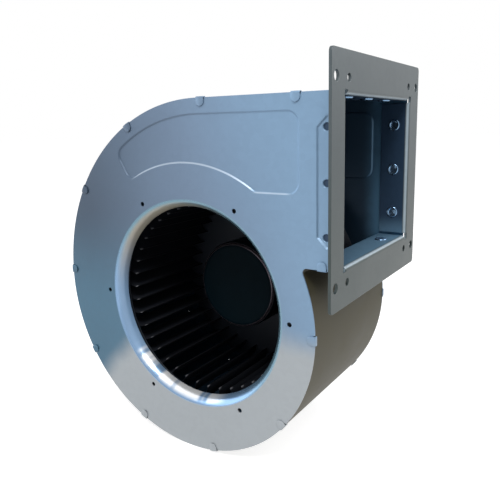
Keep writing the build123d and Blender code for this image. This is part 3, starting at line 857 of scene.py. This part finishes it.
def wrapperSkin():
    # The rim carried from one side plate to the other, with flat ends for the outlet's clinch points
    h = housing
    low, high = h["sheet"], h["depth"] - h["sheet"]
    flatX = h["ductEnd"] - h["flatEnd"]
    span = rimLength[[0, -1]] + (h["flatEnd"], -h["flatEnd"])
    keep = (rimLength > span[0]) & (rimLength < span[1])
    places = np.concatenate((span[:1], rimLength[keep], span[1:]))
    line, _ = pathAt(rim, rimLength, places)
    rows = np.stack([np.stack((line[:, 0], np.full(len(line), y), line[:, 1]), 1) for y in (low, high)], 1)
    patches = [gridPatch(rows)]
    corners = np.array(((flatX, low), (h["ductEnd"], low), (h["ductEnd"], high), (flatX, high)))
    for z, inwards, depths in ((h["top"], -1, clinch["topY"]), (h["floor"], 1, clinch["floorY"])):
        def place(flat, z=z):
            return np.stack((flat[:, 0], flat[:, 1], np.full(len(flat), z)), 1)
        rimRadius = clinch["pit"][0][0]
        pits = [circlePath((clinch["x"], y), rimRadius, clinch["sides"])[0] for y in depths]
        patches.append(fillPatch([corners] + pits, place))
        for y in depths:
            points, faces = bandPatch(circlePath((clinch["x"], y), 0.0, clinch["sides"]), clinch["pit"])
            patches.append((np.stack((points[:, 0], points[:, 2], z + inwards * points[:, 1]), 1), faces))
    return patches


def tabSkin():
    # Each tab's outer face: rows run up the wrapper, round the fold and down the side plate to a tip that is
    # half a circle, and across it the face sinks by dome v v
    t = lockTabs
    fold = np.radians(np.linspace(0, 90, 6))
    down = np.linspace(t["flatFrom"], t["length"], 10)
    inwards = np.concatenate(((-t["bulge"],), t["bend"] * (1 - np.cos(fold)) - t["bulge"], down))
    flatLevel = np.full(len(down), -t["height"])
    level = np.concatenate(((t["root"],), t["bend"] * (1 - np.sin(fold)) - t["height"], flatLevel))
    half = t["width"] / 2
    straight = t["length"] - half
    width = np.sqrt(np.maximum(half ** 2 - np.maximum(inwards - straight, 0) ** 2, t["tip"] ** 2))
    across = np.linspace(1, -1, 9)
    points, normals = pathAt(rim, rimLength, tabPlaces)
    heading = np.stack((-normals[:, 1], normals[:, 0]), 1)
    flat = (
        points[:, None, None]
        - normals[:, None, None] * inwards[None, :, None, None]
        + heading[:, None, None] * (width[:, None] * across)[None, :, :, None]
    )
    sink = t["dome"] * across ** 2 * (level < 0)[:, None]
    depth = np.broadcast_to((level[:, None] + sink)[None], flat.shape[:3])
    tabs = np.stack((flat[..., 0], depth, flat[..., 1]), -1)
    return [gridPatch(tab) for tab in tabs]


wrapperMesh = meshFrom("wrapper_strip", wrapperSkin(), (0, 0, 1))
wrapper = addPiece(
    "wrapper_strip", wrapperMesh, "housing", ["scroll_wrapper"],
    sheet=housing["sheet"], round=0.1, roundAngle=60,
)
frontTabs = tabSkin()
tabMesh = meshFrom("locking_tabs", frontTabs + mirrored(frontTabs), False)
tabPiece = addPiece(
    "locking_tabs", tabMesh, "housing",
    sheet=lockTabs["sheet"], round=0.12, roundAngle=50,
)
print("wrapper made")


flangeNeck = {"sideY": 4.2, "topInset": 3.0}


def clinchButtons():
    # Raised rings on the inner faces of the flange's tabs: the button's profile turned about each point
    offset, rise = np.array(clinch["button"]).T
    angle = np.linspace(0, 2 * np.pi, 32, endpoint=False)[:, None]
    ringA, ringB = offset * np.cos(angle), offset * np.sin(angle)
    lift = np.broadcast_to(rise, ringA.shape)
    ringX = clinch["x"] + ringA
    near, far = flangeNeck["sideY"], housing["depth"] - flangeNeck["sideY"]
    under, over = housing["top"] - flangeNeck["topInset"], housing["floor"] + flangeNeck["topInset"]
    patches = []
    for z in clinch["sideZ"]:
        patches.append(gridPatch(np.stack((ringX, near + lift, z + ringB), -1), closeRows=True))
        patches.append(gridPatch(np.stack((ringX, far - lift, z + ringB), -1), closeRows=True))
    for y in clinch["topY"]:
        patches.append(gridPatch(np.stack((ringX, y + ringB, under - lift), -1), closeRows=True))
    for y in clinch["floorY"]:
        patches.append(gridPatch(np.stack((ringX, y + ringB, over + lift), -1), closeRows=True))
    return patches


buttonMesh = meshFrom("clinch_buttons", clinchButtons())
buttons = addPiece("clinch_buttons", buttonMesh, "housing")


def mergedCopy(name, node, body, round, roundAngle=35):
    # A CAD node's mesh with its loose triangles joined, flat areas made whole and edges softened
    joined = bmesh.new()
    joined.from_mesh(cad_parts[node].data)
    bmesh.ops.remove_doubles(joined, verts=joined.verts, dist=mergeReach)
    bmesh.ops.dissolve_limit(joined, angle_limit=radians(0.3), verts=joined.verts, edges=joined.edges)
    mesh = bpy.data.meshes.new(name)
    joined.to_mesh(mesh)
    joined.free()
    return addPiece(name, mesh, body, [node], round=round, roundAngle=roundAngle)


flange = mergedCopy("flange_plate", "outlet_flange", "housing", 0.25)
motorFlange = mergedCopy("motor_flange_turned", "motor_flange", "housing", 0.3)
cover = mergedCopy("bearing_cover_disc", "bearing_cover", "housing", 0.3)
screws = mergedCopy("motor_screw_set", "motor_screws", "housing", 0.3)
grommet = mergedCopy("lead_grommet_ring", "lead_grommet", "housing", 0.5)
print("flange and motor mount made")


# Wheel and rotor

wheel = {
    "blades": 40, "inner": 72.0, "outer": 88.4, "lead": 5.9, "thickness": 0.8,
    "front": 16.0, "width": 91.0, "radius": 90.0, "ringBore": 79.0, "sheet": 1.0, "sides": 144,
}
rotor = {
    "radius": 37.0, "wall": 2.4, "face": 59.5, "corner": 5.0, "bossRadius": 8.0, "boss": 4.0, "shaft": 4.02,
    "sides": 128,
}
discFront = wheel["front"] + wheel["width"] - wheel["sheet"]


def bladePatches():
    # Each blade is an arc strip that leaves the root radially and runs ahead at its tip, closed at both ends
    run = wheel["outer"] * cos(radians(wheel["lead"])) - wheel["inner"]
    fall = wheel["outer"] * sin(radians(wheel["lead"]))
    radius = (run ** 2 + fall ** 2) / (2 * fall)
    sweep = degrees(np.arctan2(run, radius - fall))
    centre = (wheel["inner"], -radius)
    back, _ = arcRun(centre, radius + wheel["thickness"] / 2, 90, 90 - sweep, step=5)
    front, _ = arcRun(centre, radius - wheel["thickness"] / 2, 90 - sweep, 90, step=5)
    section = np.concatenate((back, front))
    turn = 2 * np.pi * np.arange(wheel["blades"]) / wheel["blades"]
    spun = np.stack((
        np.cos(turn)[:, None] * section[:, 0] - np.sin(turn)[:, None] * section[:, 1],
        np.sin(turn)[:, None] * section[:, 0] + np.cos(turn)[:, None] * section[:, 1],
    ), -1)
    ends = (wheel["front"] + wheel["sheet"], discFront)
    patches = []
    for loop in spun:
        rows = np.stack([np.stack((loop[:, 0], np.full(len(loop), y), loop[:, 1]), 1) for y in ends], 1)
        points, faces = gridPatch(rows, closeRows=True)
        count = len(loop)
        half = count // 2
        for side in (0, 1):
            near, far = np.arange(half - 1), count - 1 - np.arange(half - 1)
            strip = (2 * np.stack((near, near + 1, far - 1, far), 1) + side).tolist()
            faces = faces + (strip if side else [quad[::-1] for quad in strip])
        patches.append((points, faces))
    return patches


blades = addPiece(
    "blade_set", meshFrom("blade_set", bladePatches()), "rotor", ["wheel_blades"],
)


def ringProfile(bore, face):
    # (radius, Y) of a flat ring with softened edges, from face towards the rear
    outer, back = wheel["radius"], face + wheel["sheet"]
    return roundedCorners(((bore, face), (outer, face), (outer, back), (bore, back)), (0.3,) * 4, 4)


ringSkin = turnedPatch(ringProfile(wheel["ringBore"], wheel["front"]), wheel["sides"])
frontRing = addPiece(
    "front_ring", meshFrom("front_ring", [ringSkin]), "rotor", ["wheel_front_ring"],
)
discSkin = turnedPatch(ringProfile(rotor["radius"] - rotor["wall"], discFront), wheel["sides"])
backDisc = addPiece(
    "back_disc", meshFrom("back_disc", [discSkin]), "rotor", ["wheel_back_disc"],
)


def cupProfile():
    # (radius, Y) of the drawn cup, open towards the back disc, with the boss that holds the shaft
    r, wall, face = rotor["radius"], rotor["wall"], rotor["face"]
    bore, inside, bossEnd = r - wall, face + wall, face + wall + rotor["boss"]
    boss, shaft = rotor["bossRadius"], rotor["shaft"]
    corners = (
        (0.0, face), (r, face), (r, discFront), (bore, discFront), (bore, inside), (boss, inside),
        (boss, bossEnd), (shaft, bossEnd), (shaft, inside), (0.0, inside),
    )
    return roundedCorners(corners, (0, rotor["corner"], 0.3, 0.3, 1.5, 0.5, 0.4, 0.2, 0, 0), 8)


cupSkin = turnedPatch(cupProfile(), rotor["sides"])
cup = addPiece(
    "rotor_shell", meshFrom("rotor_shell", [cupSkin]), "rotor", ["rotor_cup"],
)
print("wheel and rotor made")

pieceFinish = (
    (frontPlate, "sidePlate", "inside"), (rearPlate, "sidePlate", "inside"), (wrapper, "wrapper", "inside"),
    (tabPiece, "sidePlate", "inside"), (buttons, "button"), (flange, "flange"), (motorFlange, "motor"),
    (cover, "motor"), (screws, "screw"), (grommet, "rubber"), (blades, "blade"), (frontRing, "wheel"),
    (backDisc, "wheel"), (cup, "rotor"),
)
for piece, *names in pieceFinish:
    piece.data.materials.clear()
    for finishName in names:
        piece.data.materials.append(finishes[finishName])


# Camera, light and floor

view = {
    "place": (257.94, -302.15, 129.08),
    "right": (0.84644, 0.53215, -0.01874),
    "down": (0.08773, -0.17408, -0.98082),
    "focal": 550.78,
    "centre": (263.91, 236.49),
    "frame": 500,
}
cameraData = bpy.data.cameras.new("camera")
camera = bpy.data.objects.new("camera", cameraData)
bpy.context.scene.collection.objects.link(camera)
bpy.context.scene.camera = camera
cameraRight = Vector(view["right"]).normalized()
cameraUp = -Vector(view["down"])
cameraUp = (cameraUp - cameraUp.dot(cameraRight) * cameraRight).normalized()
turn = Matrix((cameraRight, cameraUp, cameraRight.cross(cameraUp))).transposed().to_4x4()
camera.matrix_world = Matrix.Translation(Vector(view["place"]) * mm) @ turn
cameraData.sensor_width = 36
cameraData.lens = view["focal"] / view["frame"] * cameraData.sensor_width
cameraData.shift_x = (view["frame"] / 2 - view["centre"][0]) / view["frame"]
cameraData.shift_y = (view["centre"][1] - view["frame"] / 2) / view["frame"]
cameraData.clip_start, cameraData.clip_end = 0.01, 50

floorSize = 12.0
floorGap = 0.0005
floorLevel = cadLow.z - floorGap
floorCorners = [(x * floorSize, y * floorSize, floorLevel) for x, y in ((-1, -1), (1, -1), (1, 1), (-1, 1))]
floorMesh = bpy.data.meshes.new("floor")
floorMesh.from_pydata(floorCorners, [], [(0, 1, 2, 3)])
floor = bpy.data.objects.new("floor", floorMesh)
bpy.context.scene.collection.objects.link(floor)
white = (1.0, 1.0, 1.0)
floorFinish = Finish("floor_white")
floorMesh.materials.append(floorFinish.finished(
    Base_Color=(0.5, 0.5, 0.5), Roughness=0.9, Specular_IOR_Level=0.0, Emission_Color=white,
    Emission_Strength=floorFinish.rayKind("Is Camera Ray", "Is Glossy Ray") * 0.82,
))

world = bpy.data.worlds.new("studio")
bpy.context.scene.world = world
world.use_nodes = True
studio = Nodes(world.node_tree)
seen = studio.rayKind("Is Camera Ray", "Is Glossy Ray", "Is Transmission Ray")
studio.feed(world.node_tree.nodes["Background"], {"Color": white, "Strength": seen * 0.6 + 0.4})

lamps = {
    # name: place, aimed at, size, watts, colour
    "key": ((0.4, -0.75, 1.25), (0.0, 0.05, 0.02), 0.6, 20.0, (1.0, 0.98, 0.95)),
    "fill": ((-1.1, -0.5, 0.35), (0.0, 0.05, 0.0), 0.9, 5.0, (0.85, 0.93, 1.0)),
    "back": ((0.9, 0.9, 0.8), (0.0, 0.05, 0.05), 0.8, 9.0, (1.0, 1.0, 1.0)),
}
for name, (place, aim, size, watts, colour) in lamps.items():
    lampData = bpy.data.lights.new(name, "AREA")
    lampData.shape = "SQUARE"
    lampData.size, lampData.energy, lampData.color = size, watts, colour
    lamp = bpy.data.objects.new(name, lampData)
    bpy.context.scene.collection.objects.link(lamp)
    lamp.location = place
    lamp.rotation_mode = "QUATERNION"
    lamp.rotation_quaternion = (Vector(aim) - Vector(place)).to_track_quat("-Z", "Y")

scene = bpy.context.scene
scene.view_settings.view_transform = "Standard"
print("camera, light and floor made")
